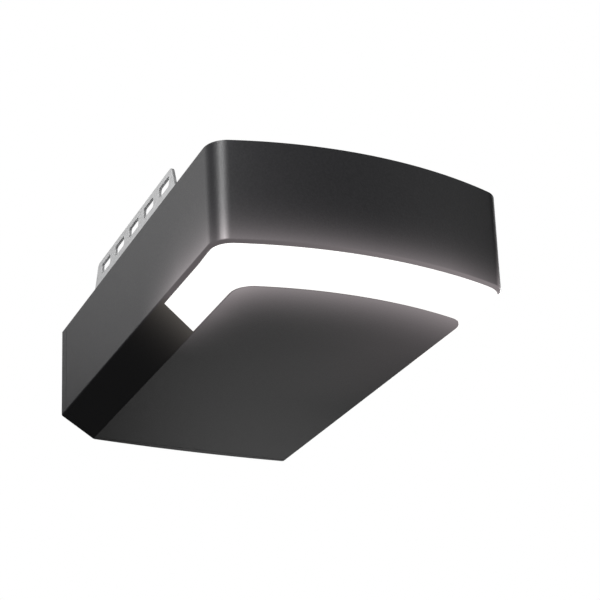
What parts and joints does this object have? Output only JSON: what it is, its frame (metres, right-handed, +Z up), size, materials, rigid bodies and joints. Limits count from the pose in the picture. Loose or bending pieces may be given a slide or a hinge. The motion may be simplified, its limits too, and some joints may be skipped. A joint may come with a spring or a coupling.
{
  "type": "garage door opener",
  "caption": "Ceiling-hung garage door opener head with curved casing, U-shaped LED light, slotted hanging brackets, worm drive and control buttons.",
  "frame": {"origin": "middle of the rail channel's floor, the seat that the drive rail lies on", "axes": "+Z up towards the ceiling, -Y towards the curved light end, +Y towards the controls"},
  "size_m": [0.2544, 0.4204, 0.1344],
  "materials": {
    "casing_plastic": "fine-textured dark charcoal moulded plastic",
    "lens_plastic": "opal white diffuser, lit from behind",
    "white_plastic": "white reflector plastic",
    "galvanised_sheet": "galvanised sheet steel, faint spangle",
    "zinc_steel": "zinc-plated and ground steel",
    "die_cast": "die-cast aluminium, sand-textured",
    "motor_steel": "black-painted drawn steel",
    "ferrite": "sintered ferrite",
    "winding": "lacquered copper winding and laminations",
    "nylon": "natural nylon",
    "rubber": "black rubber",
    "board_green": "green solder-masked circuit board",
    "black_plastic": "black moulded plastic",
    "blue_plastic": "blue relay case",
    "green_plastic": "green terminal block",
    "grey_plastic": "grey button plastic",
    "aluminium": "extruded and sheet aluminium",
    "smoked_window": "smoked glossy window"
  },
  "bodies": {
    "head": {"main_cover": "casing_plastic", "rear_cover": "casing_plastic", "light_lens": "lens_plastic", "reflector_wall": "white_plastic", "led_board": "aluminium", "heat_sink": "aluminium", "chassis_plate": "galvanised_sheet", "rail_channel": "galvanised_sheet", "left_hanging_bracket": "galvanised_sheet", "right_hanging_bracket": "galvanised_sheet", "transformer_disc": "galvanised_sheet", "board_bracket": "galvanised_sheet", "bracket_screw_1": "zinc_steel", "bracket_screw_2": "zinc_steel", "bracket_screw_3": "zinc_steel", "bracket_screw_4": "zinc_steel", "channel_screw_1": "zinc_steel", "channel_screw_2": "zinc_steel", "channel_screw_3": "zinc_steel", "channel_screw_4": "zinc_steel", "cover_screw_1": "zinc_steel", "cover_screw_2": "zinc_steel", "cover_screw_3": "zinc_steel", "cover_screw_4": "zinc_steel", "gearbox_bolt_1": "zinc_steel", "gearbox_bolt_2": "zinc_steel", "gearbox_bolt_3": "zinc_steel", "gearbox_bolt_4": "zinc_steel", "upper_bearing": "zinc_steel", "lower_bearing": "zinc_steel", "transformer_bolt": "zinc_steel", "isolator_1": "rubber", "isolator_2": "rubber", "isolator_3": "rubber", "isolator_4": "rubber", "gearbox_housing": "die_cast", "gearbox_lid": "die_cast", "motor_can": "motor_steel", "motor_end_cap": "black_plastic", "capacitor": "black_plastic", "power_inlet": "black_plastic", "control_panel": "black_plastic", "magnet_right": "ferrite", "magnet_left": "ferrite", "transformer_coil": "winding", "control_board": "board_green", "relay": "blue_plastic", "terminal_block": "green_plastic", "display_window": "smoked_window"},
    "output": {"output_shaft": "zinc_steel", "worm_wheel": "nylon", "drive_sprocket": "zinc_steel", "retaining_clip": "zinc_steel"},
    "rotor": {"worm_shaft": "zinc_steel", "armature": "winding", "encoder_disc": "black_plastic"},
    "button_up_cap": {"button_up": "grey_plastic"},
    "button_down_cap": {"button_down": "grey_plastic"},
    "button_set_cap": {"button_set": "grey_plastic"},
    "button_learn_cap": {"button_learn": "grey_plastic"}
  },
  "joints": [
    {"name": "motor_spin", "type": "hinge", "parent": "head", "child": "rotor", "pos_m": [0.046, 0, -0.038], "axis": [0, 1, 0], "continuous": true},
    {"name": "output_spin", "type": "hinge", "parent": "head", "child": "output", "pos_m": [0, -0.06, 0], "axis": [0, 0, 1], "continuous": true},
    {"name": "button_up_press", "type": "slide", "parent": "head", "child": "button_up_cap", "axis": [0, -1, 0], "range_m": [0, 0.0015], "stiffness_N_per_m": 800, "springref_m": -0.001},
    {"name": "button_down_press", "type": "slide", "parent": "head", "child": "button_down_cap", "axis": [0, -1, 0], "range_m": [0, 0.0015], "stiffness_N_per_m": 800, "springref_m": -0.001},
    {"name": "button_set_press", "type": "slide", "parent": "head", "child": "button_set_cap", "axis": [0, -1, 0], "range_m": [0, 0.0015], "stiffness_N_per_m": 800, "springref_m": -0.001},
    {"name": "button_learn_press", "type": "slide", "parent": "head", "child": "button_learn_cap", "axis": [0, -1, 0], "range_m": [0, 0.0015], "stiffness_N_per_m": 800, "springref_m": -0.001}
  ],
  "couplings": [
    {"joint": "output_spin", "follows": "motor_spin", "ratio": 0.052632}
  ]
}
